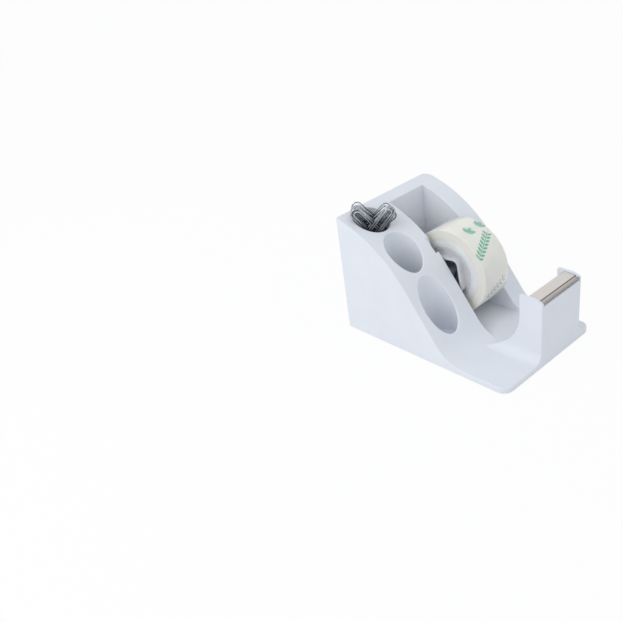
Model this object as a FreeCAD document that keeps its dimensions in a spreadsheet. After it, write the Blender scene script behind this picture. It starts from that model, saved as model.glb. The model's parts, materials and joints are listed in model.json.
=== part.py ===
"""Desk tape dispenser with three round wells, built as separate pieces.

The frame has its origin under the middle of the base, on the desk.
X runs along the length towards the cutter, Y across the width, with the
wells on the -Y side and the thick far wall on the +Y side, and Z up.
"""
import FreeCAD, Part
import Sketcher
import math
import os

doc = FreeCAD.newDocument("tape_dispenser")
Vector = FreeCAD.Vector

# ---------------------------------------------------------------- sizes (mm, degrees)
SIZES = {
    # base slab and outside form
    "length": 140, "width": 95.2, "corner_radius": 7, "tight_corner_radius": 2,
    "rim_lift": 0.6, "deck_top": 4.5, "rear_height": 88.3,
    "crest_run": 41.95, "crest_drop": 13.95, "crest_radius": 97,
    "valley_run": 30.3, "foot_radius": 25.3,
    "skin": 2.5, "edge_round": 0.7,
    # tape channel between the well block and the far wall
    "far_wall": 15.3, "tape_side_gap": 5.25, "rear_wall": 9.7,
    # wells
    "well_radius": 12.5, "well_y": -28,
    "well_rear_web": 2.4, "well_web": 3.1,
    "pen_floor_z": 6.5, "clip_well_drop": 21, "tube_wall": 1.8,
    # axle slots
    "roll_gap": 15.7, "roll_lift": 4.5, "slot_lean": 20.8,
    "slot_width": 5.6, "slot_depth": 3, "slot_wall": 2,
    # cutter post
    "post_near_lap": 6.8, "post_far_lap": 0.7, "post_depth": 16.6, "post_height": 50.5,
    "post_front_z": 48.4, "crown_run": 5, "crown_radius": 12, "cap_round": 1,
    "sweep_radius": 30, "flare_radius": 7, "cheek": 1.6, "seat_roof": 3.5,
    # cutter
    "plate_thickness": 0.6, "plate_setback": 3.1, "plate_drop": 0.5, "plate_fall": 0.7,
    "curl_radius": 3.6, "curl_depth": 5.5, "fold_setback": 3.5, "fold_run": 0.9,
    "fold_fall": 1.1, "lip_setback": 0.1, "lip_rise": 0.5, "lip_gap": 1.9,
    "tooth_pitch": 1.4, "seat_play": 0.2,
    # tape, core and hub
    "tape_width": 25.4, "tape_radius": 31.4, "core_radius": 24.7, "core_bore": 19,
    "hub_wall": 1.8, "hub_web": 1.6, "web_step": 0.5, "rim_step": 0.2,
    "socket_play": 1.6, "socket_gap": 0.5, "socket_wall": 1.9,
    "window_size": 22.4, "window_corner": 3.6, "window_turn": 7,
    "shaft_radius": 3.1, "journal_radius": 2.5, "shaft_play": 0.5, "end_play": 0.3,
    "running_fit": 0.05, "core_fit": 0.1,
    # underside
    "cover_recess": 0.2, "cover_thickness": 2, "cover_play": 0.2,
    "foot_pad_radius": 6, "foot_pad_sink": 0.8, "foot_pad_edge": 9.6,
    "foot_pad_rear_run": 38.7, "foot_pad_front_run": 33.3,
    "screw_rear_run": 10, "screw_mid_run": 82, "screw_wall_gap": 3, "screw_post_gap": 3,
    "screw_post_spread": 11.3,
    "boss_radius": 3.6, "boss_height": 8, "screw_radius": 1.2, "screw_length": 7,
    "screw_head_radius": 2.3, "screw_head_height": 1, "head_play": 0.1, "thread_play": 0.05,
    # weights inside
    "weight_play": 0.3,
    # paper clips
    "clip_length": 33, "clip_width": 8.4, "clip_wire": 0.5, "clip_nest": 1.45, "clip_flat": 0.4,
    "clip_pitch": 1.25, "clip_play": 0.25, "clip_first_gap": 8, "clip_fan": 50,
}

sheet = doc.addObject("Spreadsheet::Sheet", "sizes")
for row, (name, value) in enumerate(SIZES.items(), start=1):
    sheet.set(f"A{row}", name)
    sheet.set(f"B{row}", str(value))
    sheet.setAlias(f"B{row}", name)
doc.recompute()


def size(expression):
    """The present value of an expression on the sheet."""
    return float(sheet.evalExpression(expression))


# Places that several pieces share, as expressions on the sheet.
HALF_LENGTH = "(sizes.length / 2)"
HALF_WIDTH = "(sizes.width / 2)"
CHANNEL_FAR = f"({HALF_WIDTH} - sizes.far_wall)"
CHANNEL_WIDTH = "(sizes.tape_width + 2 * sizes.tape_side_gap)"
CHANNEL_NEAR = f"({CHANNEL_FAR} - {CHANNEL_WIDTH})"
CHANNEL_REAR = f"(-{HALF_LENGTH} + sizes.rear_wall)"
ROLL_Y = f"(({CHANNEL_FAR} + {CHANNEL_NEAR}) / 2)"
COVER_BOTTOM = "(sizes.rim_lift + sizes.cover_recess)"
COVER_TOP = f"({COVER_BOTTOM} + sizes.cover_thickness)"
POST_REAR = f"({HALF_LENGTH} - sizes.post_depth)"
POST_NEAR = f"({CHANNEL_NEAR} - sizes.post_near_lap)"
POST_FAR = f"({CHANNEL_FAR} + sizes.post_far_lap)"
POST_Y = f"(({POST_NEAR} + {POST_FAR}) / 2)"
CREST_X = f"(sizes.crest_run - {HALF_LENGTH})"
CREST_Z = "(sizes.rear_height - sizes.crest_drop)"
SLOPE_FOOT = f"({POST_REAR} - sizes.valley_run)"
CLIP_FLOOR = "(sizes.rear_height - sizes.clip_well_drop)"
CLIP_WELL_X = f"(sizes.well_rear_web + sizes.well_radius - {HALF_LENGTH})"
WELL_PITCH = "(2 * sizes.well_radius + sizes.well_web)"
AXLE_X = f"({CHANNEL_REAR} + sizes.roll_gap + sizes.tape_radius)"
AXLE_Z = "(sizes.deck_top + sizes.roll_lift + sizes.tape_radius)"
SCREW_REAR = f"(sizes.screw_rear_run - {HALF_LENGTH})"
SCREW_MID = f"(sizes.screw_mid_run - {HALF_LENGTH})"
BOSS_TOP = f"({COVER_TOP} + sizes.boss_height)"
BELOW = "(sizes.rim_lift - 2 * sizes.skin)"
ABOVE = "(sizes.rear_height + sizes.skin)"

FRONT_VIEW = FreeCAD.Placement(Vector(), FreeCAD.Rotation(Vector(1, 0, 0), 90))
END_VIEW = FreeCAD.Placement(Vector(), FreeCAD.Rotation(Vector(1, 1, 1), 120))
PLAN_VIEW = FreeCAD.Placement()


# ---------------------------------------------------------------- drawing helpers
def bind(thing, **expressions):
    """Bind each named property of an object to its expression."""
    for name, expression in expressions.items():
        thing.setExpression(name.replace("_", "."), expression)
    return thing


def pin(sketch, element, point, across, up):
    """Hold one point of a sketch at two expressions from the sketch's origin."""
    for kind, expression in (("DistanceX", across), ("DistanceY", up)):
        number = sketch.addConstraint(Sketcher.Constraint(kind, element, point, size(expression)))
        sketch.setExpression(f"Constraints[{number}]", expression)


def outline(sketch, corners, closed=True):
    """Lines through the corners (across, up, radius), with a tangent arc at each radius."""
    spots = [Vector(size(across), size(up), 0) for across, up, _ in corners]
    count = len(corners)
    arrive, leave, arcs = {}, {}, {}
    for i, (_, _, radius) in enumerate(corners):
        arrive[i] = leave[i] = spots[i]
        if radius is None:
            continue
        back = (spots[i - 1] - spots[i]).normalize()
        ahead = (spots[(i + 1) % count] - spots[i]).normalize()
        half_angle = back.getAngle(ahead) / 2
        reach = size(radius) / math.tan(half_angle)
        arrive[i] = spots[i] + back * reach
        leave[i] = spots[i] + ahead * reach
        centre = spots[i] + (back + ahead).normalize() * (size(radius) / math.sin(half_angle))
        middle = centre + (spots[i] - centre).normalize() * size(radius)
        arcs[i] = Part.Arc(arrive[i], middle, leave[i])
    lines = {}
    for i in range(count if closed else count - 1):
        after = (i + 1) % count
        lines[i] = sketch.addGeometry(Part.LineSegment(leave[i], arrive[after]), False)
    for i, (across, up, radius) in enumerate(corners):
        before = (i - 1) % count
        if radius is None:
            if i in lines:
                pin(sketch, lines[i], 1, across, up)
            else:
                pin(sketch, lines[before], 2, across, up)
            if i in lines and before in lines:
                sketch.addConstraint(Sketcher.Constraint("Coincident", lines[before], 2, lines[i], 1))
            continue
        arc = sketch.addGeometry(arcs[i], False)
        first = sketch.getPoint(arc, 1)
        start, end = (1, 2) if first.distanceToPoint(arrive[i]) < first.distanceToPoint(leave[i]) else (2, 1)
        sketch.addConstraint(Sketcher.Constraint("Tangent", lines[before], 2, arc, start))
        sketch.addConstraint(Sketcher.Constraint("Tangent", arc, end, lines[i], 1))
        number = sketch.addConstraint(Sketcher.Constraint("Radius", arc, size(radius)))
        sketch.setExpression(f"Constraints[{number}]", radius)
        corner = sketch.addGeometry(Part.Point(spots[i]), True)
        pin(sketch, corner, 1, across, up)
        sketch.addConstraint(Sketcher.Constraint("PointOnObject", corner, 1, lines[before]))
        sketch.addConstraint(Sketcher.Constraint("PointOnObject", corner, 1, lines[i]))
    return sketch


def drawing(name, view, corners, closed=True):
    """A free-standing sketch in one of the three views."""
    sketch = doc.addObject("Sketcher::SketchObject", name)
    sketch.Placement = view
    return outline(sketch, corners, closed)


def extrude(name, base, direction, start, end):
    """A solid between two places along a direction, from a flat face or sketch."""
    result = doc.addObject("Part::Extrusion", name)
    result.Base = base
    result.DirMode = "Custom"
    result.Dir = direction
    result.Solid = True
    return bind(result, LengthFwd=end, LengthRev=f"-({start})")


def box(name, x, y, z):
    """A box between two expressions on each axis."""
    result = doc.addObject("Part::Box", name)
    bind(result, Length=f"({x[1]}) - ({x[0]})", Width=f"({y[1]}) - ({y[0]})",
         Height=f"({z[1]}) - ({z[0]})")
    return bind(result, Placement_Base_x=x[0], Placement_Base_y=y[0], Placement_Base_z=z[0])


def post_round(name, x, y, z, radius):
    """An upright cylinder between two heights."""
    result = doc.addObject("Part::Cylinder", name)
    bind(result, Radius=radius, Height=f"({z[1]}) - ({z[0]})")
    return bind(result, Placement_Base_x=x, Placement_Base_y=y, Placement_Base_z=z[0])


def join(name, *things):
    result = doc.addObject("Part::MultiFuse", name)
    result.Shapes = list(things)
    result.Refine = True
    return result


def overlap(name, first, second):
    result = doc.addObject("Part::Common", name)
    result.Base = first
    result.Tool = second
    return result


def cut(name, base, tool):
    result = doc.addObject("Part::Cut", name)
    result.Base = base
    result.Tool = tool
    result.Refine = True
    return result


def round_edges(name, base, chosen, radius):
    """Round every edge of a solid that passes a test, all with one radius."""
    doc.recompute()
    numbers = [i for i, edge in enumerate(base.Shape.Edges, start=1) if chosen(edge)]
    result = doc.addObject("Part::Fillet", name)
    result.Base = base
    result.Edges = [(number, size(radius), size(radius)) for number in numbers]
    return result


def along(edge, steps=4):
    """Points spread along an edge."""
    first, last = edge.ParameterRange
    return [edge.valueAt(first + (last - first) * i / steps) for i in range(steps + 1)]


def plane(body, role):
    """One of a body's own origin planes."""
    return next(item for item in body.Origin.OriginFeatures if item.Role == role)


def body_sketch(body, name, role, height="0"):
    """A sketch on a body's own plane, moved along the plane's normal."""
    sketch = body.newObject("Sketcher::SketchObject", name)
    sketch.AttachmentSupport = (plane(body, role), [""])
    sketch.MapMode = "FlatFace"
    return bind(sketch, AttachmentOffset_Base_z=height)


def circle(sketch, across, up, radius):
    """A circle held by its centre and radius."""
    ring = sketch.addGeometry(Part.Circle(Vector(size(across), size(up), 0), Vector(0, 0, 1),
                                          size(radius)), False)
    pin(sketch, ring, 3, across, up)
    number = sketch.addConstraint(Sketcher.Constraint("Radius", ring, size(radius)))
    sketch.setExpression(f"Constraints[{number}]", radius)


def pad(body, name, sketch, length):
    result = body.newObject("PartDesign::Pad", name)
    result.Profile = sketch
    return bind(result, Length=length)


def pocket(body, name, sketch, depth, upwards=True):
    """Cut a sketch's shape, upwards from its plane unless told otherwise."""
    result = body.newObject("PartDesign::Pocket", name)
    result.Profile = sketch
    result.Reversed = upwards
    return bind(result, Length=depth)


def revolve(body, name, sketch):
    """A full turn about the sketch's own upright axis."""
    result = body.newObject("PartDesign::Revolution", name)
    result.Profile = sketch
    result.ReferenceAxis = (sketch, ["V_Axis"])
    result.Angle = 360
    return result


# ---------------------------------------------------------------- body shell
def rounded_plan(name, grow="0", near_rear="sizes.tight_corner_radius"):
    """The base's plan on the XY plane. Its near rear corner is tight, the others well rounded."""
    across = f"({HALF_LENGTH} + {grow})"
    along = f"({HALF_WIDTH} + {grow})"
    radius = f"(sizes.corner_radius + {grow})"
    return drawing(name, PLAN_VIEW, [
        (f"-{across}", f"-{along}", near_rear),
        (across, f"-{along}", radius),
        (across, along, radius),
        (f"-{across}", along, radius),
    ])


def slot(name, radius, near, far):
    """The leaning slot that an axle end drops down, from its round end to above the crest."""
    end = doc.addObject("Part::Cylinder", name + "_end")
    end.Placement.Rotation = FreeCAD.Rotation(Vector(1, 0, 0), -90)
    bind(end, Radius=radius, Height=f"{far} - {near}")
    bind(end, Placement_Base_x=AXLE_X, Placement_Base_y=near, Placement_Base_z=AXLE_Z)
    run = doc.addObject("Part::Box", name + "_run")
    run.Placement.Rotation = FreeCAD.Rotation(Vector(0, 1, 0), -size("sizes.slot_lean"))
    bind(run, Length=f"2 * {radius}", Width=f"{far} - {near}", Height="sizes.rear_height")
    bind(run, Placement_Base_x=f"{AXLE_X} - {radius} * cos(sizes.slot_lean * 1 deg)",
         Placement_Base_y=near,
         Placement_Base_z=f"{AXLE_Z} - {radius} * sin(sizes.slot_lean * 1 deg)")
    return join(name, end, run)


def screw_places():
    """Where the six cover screws stand: four along the side walls, two in the post."""
    side = f"({HALF_WIDTH} - sizes.skin - sizes.screw_wall_gap)"
    front = f"({HALF_LENGTH} - sizes.skin - sizes.screw_post_gap)"
    places = [(x, y) for x in (SCREW_REAR, SCREW_MID) for y in (f"-{side}", side)]
    return places + [(front, f"({POST_Y} {sign} sizes.screw_post_spread)") for sign in "-+"]


WELLS = {
    "clip_well": (CLIP_WELL_X, CLIP_FLOOR),
    "middle_well": (f"({CLIP_WELL_X} + {WELL_PITCH})", "sizes.pen_floor_z"),
    "low_well": (f"({CLIP_WELL_X} + 2 * {WELL_PITCH})", "sizes.pen_floor_z"),
}

plan = rounded_plan("plan")
block = extrude("block", plan, Vector(0, 0, 1), "sizes.rim_lift", "sizes.rear_height")
deck = extrude("deck", plan, Vector(0, 0, 1), "sizes.rim_lift", "sizes.deck_top")

# The foot of the slope runs out level with the deck, one foot radius in front of its corner.
slope_end = f"({SLOPE_FOOT} + sizes.foot_radius)"
wedge_side = drawing("wedge_side", FRONT_VIEW, [
    (f"-{HALF_LENGTH}", BELOW, None),
    (slope_end, BELOW, None),
    (slope_end, "sizes.deck_top", None),
    (SLOPE_FOOT, "sizes.deck_top", "sizes.foot_radius"),
    (CREST_X, CREST_Z, "sizes.crest_radius"),
    (f"-{HALF_LENGTH}", "sizes.rear_height", None),
])
wedge_full = extrude("wedge_full", wedge_side, Vector(0, 1, 0), f"-{HALF_WIDTH}", HALF_WIDTH)
wedge = overlap("wedge", block, wedge_full)

channel = box("channel", (CHANNEL_REAR, slope_end), (CHANNEL_NEAR, CHANNEL_FAR), ("sizes.deck_top", ABOVE))
well_holes = [
    post_round(name + "_hole", x, "sizes.well_y", (floor, ABOVE), "sizes.well_radius")
    for name, (x, floor) in WELLS.items()
]
slot_holes = slot("slot_holes", "(sizes.slot_width / 2)", f"({CHANNEL_NEAR} - sizes.slot_depth)",
                  f"({CHANNEL_FAR} + sizes.slot_depth)")
wedge_open = cut("wedge_open", wedge, join("wedge_cuts", channel, *well_holes))

# The post is where its side view and its flared end view agree.
sweep_start = f"({POST_REAR} - sizes.sweep_radius - sizes.skin)"
post_side = drawing("post_side", FRONT_VIEW, [
    (sweep_start, BELOW, None),
    (HALF_LENGTH, BELOW, None),
    (HALF_LENGTH, "sizes.post_front_z", None),
    (f"{HALF_LENGTH} - sizes.crown_run", "sizes.post_height", "sizes.crown_radius"),
    (POST_REAR, "sizes.post_height", "sizes.cap_round"),
    (POST_REAR, "sizes.deck_top", "sizes.sweep_radius"),
    (sweep_start, "sizes.deck_top", None),
])
flare_near = f"({POST_NEAR} - 2 * sizes.flare_radius)"
flare_far = f"({POST_FAR} + 2 * sizes.flare_radius)"
post_end = drawing("post_end", END_VIEW, [
    (flare_near, BELOW, None),
    (flare_far, BELOW, None),
    (flare_far, "sizes.deck_top", None),
    (POST_FAR, "sizes.deck_top", "sizes.flare_radius"),
    (POST_FAR, ABOVE, None),
    (POST_NEAR, ABOVE, None),
    (POST_NEAR, "sizes.deck_top", "sizes.flare_radius"),
    (flare_near, "sizes.deck_top", None),
])
post_long = extrude("post_long", post_side, Vector(0, 1, 0), flare_near, flare_far)
post_deep = extrude("post_deep", post_end, Vector(1, 0, 0), sweep_start, HALF_LENGTH)
post_block = overlap("post_block", overlap("post_form", post_long, post_deep), block)

# Between the cheeks the post is cut down to carry the cutter plate.
PLATE_REAR = f"({POST_REAR} + sizes.plate_setback)"
PLATE_TOP = "(sizes.post_height - sizes.plate_drop)"
FOLD_X = f"({HALF_LENGTH} - sizes.fold_setback)"
FOLD_Z = f"({PLATE_TOP} - sizes.plate_fall)"
SEAT_NEAR = f"({POST_NEAR} + sizes.cheek)"
SEAT_FAR = f"({POST_FAR} - sizes.cheek)"
CURL_END = f"({PLATE_TOP} - sizes.curl_depth)"
SEAT_ROOF = f"({CURL_END} - sizes.skin - sizes.seat_roof)"
seat_rear = f"({PLATE_REAR} + sizes.plate_thickness)"
seat_face = f"({FOLD_X} - sizes.fold_run)"
lip_floor = f"({FOLD_Z} - sizes.fold_fall - sizes.lip_gap)"
seat_side = drawing("seat_side", FRONT_VIEW, [
    (f"{POST_REAR} - sizes.skin", f"{CURL_END} - sizes.skin", None),
    (seat_rear, f"{CURL_END} - sizes.skin", None),
    (seat_rear, f"{PLATE_TOP} - sizes.plate_thickness", "(sizes.curl_radius - sizes.plate_thickness)"),
    (seat_face, f"{FOLD_Z} - sizes.plate_thickness", None),
    (seat_face, lip_floor, None),
    (f"{HALF_LENGTH} + sizes.skin", lip_floor, None),
    (f"{HALF_LENGTH} + sizes.skin", ABOVE, None),
    (f"{POST_REAR} - sizes.skin", ABOVE, None),
])
seat = extrude("seat", seat_side, Vector(0, 1, 0), SEAT_NEAR, SEAT_FAR)
post_open = cut("post_open", post_block, seat)
sharp_outside = join("sharp_outside", deck, wedge_open, post_open)


def shows_on_top(edge):
    """True for the edges of the base's plan and of the wedge's upper face, wells and all.

    Where the post meets them its own flare is the blend, so those edges stay as they are.
    """
    points = along(edge)
    if all(post_open.Shape.distToShape(Part.Vertex(point))[0] < 0.001 for point in points):
        return False
    heights = [point.z for point in points]
    if max(heights) - min(heights) > 0.99 * edge.Length or min(heights) < size(COVER_TOP):
        return False
    flat = [plan.Shape.distToShape(Part.Vertex(p.x, p.y, 0))[0] for p in points]
    side = [wedge_side.Shape.distToShape(Part.Vertex(p.x, 0, p.z))[0] for p in points]
    return max(flat) < 0.001 or max(side) < 0.001


rounded = round_edges("rounded", sharp_outside, shows_on_top, "sizes.edge_round")
# The slots keep crisp mouths, so they are cut after the rounding.
outside = cut("outside", rounded, slot_holes)

# The moulding is hollow from below, one skin thick, with the channel tub, the well
# tubes, the slot cheeks, the cutter seat and the screw bosses left standing in the hollow.
rear_fall = "atan(sizes.crest_drop / sizes.crest_run)"
slope_fall = f"atan(({CREST_Z} - sizes.deck_top) / ({SLOPE_FOOT} - {CREST_X}))"


def wedge_inside(name, inset):
    """The wedge with its sides and upper face moved inwards, open below."""
    mean, half = f"(({rear_fall} + {slope_fall}) / 2)", f"(({slope_fall} - {rear_fall}) / 2)"
    side = drawing(name + "_side", FRONT_VIEW, [
        (f"{inset} - {HALF_LENGTH}", BELOW, None),
        (f"{slope_end} - {inset}", BELOW, None),
        (f"{slope_end} - {inset}", f"sizes.deck_top - {inset}", None),
        (f"{SLOPE_FOOT} - {inset} * tan({slope_fall} / 2)", f"sizes.deck_top - {inset}",
         f"(sizes.foot_radius + {inset})"),
        (f"{CREST_X} - {inset} * sin({mean}) / cos({half})",
         f"{CREST_Z} - {inset} * cos({mean}) / cos({half})", f"(sizes.crest_radius - {inset})"),
        (f"{inset} - {HALF_LENGTH}",
         f"sizes.rear_height - {inset} * tan({rear_fall}) - {inset} / cos({rear_fall})", None),
    ])
    return overlap(name, extrude(name + "_long", side, Vector(0, 1, 0), f"-{HALF_WIDTH}", HALF_WIDTH),
                   extrude(name + "_deep", rounded_plan(name + "_plan", f"(-{inset})", None),
                           Vector(0, 0, 1), BELOW, ABOVE))


wedge_hollow = wedge_inside("wedge_hollow", "sizes.skin")
ceiling = "(sizes.deck_top - sizes.skin)"
inner_flare = "(sizes.flare_radius + sizes.skin)"
post_inner_side = drawing("post_inner_side", FRONT_VIEW, [
    (sweep_start, BELOW, None),
    (f"{HALF_LENGTH} - sizes.skin", BELOW, None),
    (f"{HALF_LENGTH} - sizes.skin", "sizes.post_front_z", None),
    (f"{POST_REAR} + sizes.skin", "sizes.post_front_z", None),
    (f"{POST_REAR} + sizes.skin", ceiling, "(sizes.sweep_radius + sizes.skin)"),
    (sweep_start, ceiling, None),
])
post_inner_end = drawing("post_inner_end", END_VIEW, [
    (flare_near, BELOW, None),
    (flare_far, BELOW, None),
    (flare_far, ceiling, None),
    (f"{POST_FAR} - sizes.skin", ceiling, inner_flare),
    (f"{POST_FAR} - sizes.skin", ABOVE, None),
    (f"{POST_NEAR} + sizes.skin", ABOVE, None),
    (f"{POST_NEAR} + sizes.skin", ceiling, inner_flare),
    (flare_near, ceiling, None),
])
post_hollow = overlap(
    "post_hollow",
    extrude("post_inner_long", post_inner_side, Vector(0, 1, 0), flare_near, flare_far),
    extrude("post_inner_deep", post_inner_end, Vector(1, 0, 0), sweep_start, HALF_LENGTH))
# The tub runs on under the foot's whole curve, which the hollow follows a skin below.
curve_end = f"({SLOPE_FOOT} + sizes.foot_radius * tan({slope_fall} / 2))"
tub = box("tub", (f"{CHANNEL_REAR} - sizes.skin", curve_end),
          (f"{CHANNEL_NEAR} - sizes.skin", f"{CHANNEL_FAR} + sizes.skin"), (BELOW, ABOVE))
well_tubes = [
    post_round(name + "_tube", x, "sizes.well_y", (f"{floor} - sizes.tube_wall", ABOVE),
               "(sizes.well_radius + sizes.tube_wall)")
    for name, (x, floor) in WELLS.items()
]
slot_cheeks = slot("slot_cheeks", "(sizes.slot_width / 2 + sizes.slot_wall)",
                   f"({CHANNEL_NEAR} - sizes.slot_depth - sizes.slot_wall)",
                   f"({CHANNEL_FAR} + sizes.slot_depth + sizes.slot_wall)")
seat_block = box("seat_block", (f"{POST_REAR} - sizes.skin", HALF_LENGTH), (flare_near, flare_far),
                 (f"{CURL_END} - sizes.skin - sizes.seat_roof", ABOVE))
bosses = [
    post_round(f"boss_{i}", x, y, (BELOW, BOSS_TOP), "sizes.boss_radius")
    for i, (x, y) in enumerate(screw_places(), start=1)
]
hollow = cut("hollow", join("hollow_whole", wedge_hollow, post_hollow),
             join("hollow_keeps", tub, slot_cheeks, seat_block, *well_tubes, *bosses))
recess_plan = rounded_plan("recess_plan", "(-sizes.skin)", None)
recess = extrude("recess", recess_plan, Vector(0, 0, 1), BELOW, COVER_TOP)
pilots = [
    post_round(f"pilot_{i}", x, y, (BELOW, f"({COVER_TOP} + sizes.screw_length)"),
               "(sizes.screw_radius + sizes.thread_play)")
    for i, (x, y) in enumerate(screw_places(), start=1)
]
body_shell = cut("body_shell", outside, join("underside_cuts", recess, hollow, *pilots))

# ---------------------------------------------------------------- underside
cover = doc.addObject("PartDesign::Body", "bottom_cover")
cover_sketch = body_sketch(cover, "cover_outline", "XY_Plane", COVER_BOTTOM)
cover_across = f"({HALF_LENGTH} - sizes.skin - sizes.cover_play)"
cover_along = f"({HALF_WIDTH} - sizes.skin - sizes.cover_play)"
cover_corner = "(sizes.corner_radius - sizes.skin - sizes.cover_play)"
outline(cover_sketch, [
    (f"-{cover_across}", f"-{cover_along}", None),
    (cover_across, f"-{cover_along}", cover_corner),
    (cover_across, cover_along, cover_corner),
    (f"-{cover_across}", cover_along, cover_corner),
])
pad(cover, "cover_plate", cover_sketch, "sizes.cover_thickness")
foot_y = f"({HALF_WIDTH} - sizes.foot_pad_edge)"
foot_rear_x = f"(sizes.foot_pad_rear_run - {HALF_LENGTH})"
foot_front_x = f"({HALF_LENGTH} - sizes.foot_pad_front_run)"
FOOT_PLACES = {
    "foot_rear_near": (foot_rear_x, f"-{foot_y}"),
    "foot_rear_far": (foot_rear_x, foot_y),
    "foot_front_near": (foot_front_x, f"-{foot_y}"),
    "foot_front_far": (foot_front_x, foot_y),
}
sunk_sketch = body_sketch(cover, "foot_sinks", "XY_Plane", COVER_BOTTOM)
for x, y in FOOT_PLACES.values():
    circle(sunk_sketch, x, y, "(sizes.foot_pad_radius + sizes.cover_play)")
pocket(cover, "foot_sink_pockets", sunk_sketch, "sizes.foot_pad_sink")
head_sketch = body_sketch(cover, "head_sinks", "XY_Plane", COVER_BOTTOM)
shank_sketch = body_sketch(cover, "shank_holes", "XY_Plane", COVER_BOTTOM)
for x, y in screw_places():
    circle(head_sketch, x, y, "(sizes.screw_head_radius + sizes.head_play)")
    circle(shank_sketch, x, y, "(sizes.screw_radius + sizes.head_play)")
pocket(cover, "head_sink_pockets", head_sketch, "(sizes.screw_head_height + sizes.head_play)")
pocket(cover, "shank_hole_pockets", shank_sketch, "sizes.cover_thickness")

HEAD_TOP = f"({COVER_BOTTOM} + sizes.head_play + sizes.screw_head_height)"
screws = []
for i, (x, y) in enumerate(screw_places(), start=1):
    head = post_round(f"screw_head_{i}", x, y, (f"{HEAD_TOP} - sizes.screw_head_height", HEAD_TOP),
                      "sizes.screw_head_radius")
    shank = post_round(f"screw_shank_{i}", x, y, (HEAD_TOP, f"({COVER_TOP} + sizes.screw_length)"),
                       "sizes.screw_radius")
    screws.append(join(f"screw_{i}", head, shank))
cover_screws = doc.addObject("Part::Compound", "cover_screws")
cover_screws.Links = screws

feet = []
for label, (x, y) in FOOT_PLACES.items():
    foot = doc.addObject("PartDesign::Body", label)
    foot_sketch = body_sketch(foot, label + "_circle", "XY_Plane")
    circle(foot_sketch, "0", "0", "sizes.foot_pad_radius")
    pad(foot, label + "_pad", foot_sketch, f"{COVER_BOTTOM} + sizes.foot_pad_sink")
    bind(foot, Placement_Base_x=x, Placement_Base_y=y)
    feet.append(foot)

# ---------------------------------------------------------------- weights
# The side weight fills the far wall's hollow between the two screw bosses.
side_form = wedge_inside("side_form", "(sizes.skin + sizes.weight_play)")
weight_near = f"({CHANNEL_FAR} + sizes.slot_depth + sizes.slot_wall + sizes.weight_play)"
side_room = box("side_room",
                (f"({SCREW_REAR} + sizes.boss_radius + sizes.weight_play)",
                 f"({SCREW_MID} - sizes.boss_radius - sizes.weight_play)"),
                (weight_near, HALF_WIDTH), (f"({COVER_TOP} + sizes.cover_play)", ABOVE))
side_weight = overlap("side_weight", side_form, side_room)
# The post weight stands on the two bosses inside the post.
post_weight = box("post_weight",
                  (f"({POST_REAR} + sizes.skin + sizes.weight_play)",
                   f"({HALF_LENGTH} - sizes.skin - sizes.weight_play)"),
                  (f"({POST_NEAR} + sizes.skin + sizes.weight_play)",
                   f"({POST_FAR} - sizes.skin - sizes.weight_play)"),
                  (f"({BOSS_TOP} + sizes.cover_play)", f"({SEAT_ROOF} - sizes.weight_play)"))

# ---------------------------------------------------------------- cutter plate
plate = doc.addObject("PartDesign::Body", "cutter_plate_form")
plate_sketch = body_sketch(plate, "plate_side", "XZ_Plane")
LIP_X = f"({HALF_LENGTH} - sizes.lip_setback)"
TROUGH_X = f"({FOLD_X} + sizes.fold_run)"
TROUGH_Z = f"({FOLD_Z} - sizes.fold_fall)"
skew = "(sizes.plate_thickness / 2)"
outline(plate_sketch, [
    (PLATE_REAR, CURL_END, None),
    (f"({PLATE_REAR} + sizes.plate_thickness)", CURL_END, None),
    (f"({PLATE_REAR} + sizes.plate_thickness)", f"({PLATE_TOP} - sizes.plate_thickness)",
     "(sizes.curl_radius - sizes.plate_thickness)"),
    (f"({FOLD_X} - {skew})", f"({FOLD_Z} - sizes.plate_thickness)", None),
    (f"({TROUGH_X} - {skew})", f"({TROUGH_Z} - sizes.plate_thickness)", None),
    (LIP_X, f"({TROUGH_Z} + sizes.lip_rise - sizes.plate_thickness)", None),
    (LIP_X, f"({TROUGH_Z} + sizes.lip_rise)", None),
    (TROUGH_X, TROUGH_Z, None),
    (FOLD_X, FOLD_Z, None),
    (PLATE_REAR, PLATE_TOP, "sizes.curl_radius"),
])
# The sheet is drawn at the near cheek and padded across to the far one.
plate_pad = pad(plate, "plate_sheet", plate_sketch, f"{SEAT_FAR} - {SEAT_NEAR} - 2 * sizes.seat_play")
plate_pad.Reversed = True
bind(plate, Placement_Base_y=f"{SEAT_NEAR} + sizes.seat_play")
doc.recompute()
tooth_span = size(f"{SEAT_FAR} - {SEAT_NEAR} - 2 * sizes.seat_play")
tooth_count = int(tooth_span // size("sizes.tooth_pitch"))
notches = []
for i in range(tooth_count):
    notch = doc.addObject("Part::Prism", f"notch_{i}")
    notch.Polygon = 3
    notch.Placement.Rotation = FreeCAD.Rotation(Vector(0, 0, 1), 180)
    bind(notch, Circumradius="sizes.tooth_pitch / sqrt(3)", Height="4 * sizes.plate_thickness",
         Placement_Base_x=f"{LIP_X} - sizes.tooth_pitch / (4 * sqrt(3))",
         Placement_Base_y=f"{POST_Y} + sizes.tooth_pitch * {i - (tooth_count - 1) / 2}",
         Placement_Base_z=f"{TROUGH_Z} - 2 * sizes.plate_thickness")
    notches.append(notch)
all_notches = doc.addObject("Part::Compound", "all_notches")
all_notches.Links = notches
cutter_plate = cut("cutter_plate", plate, all_notches)

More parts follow.
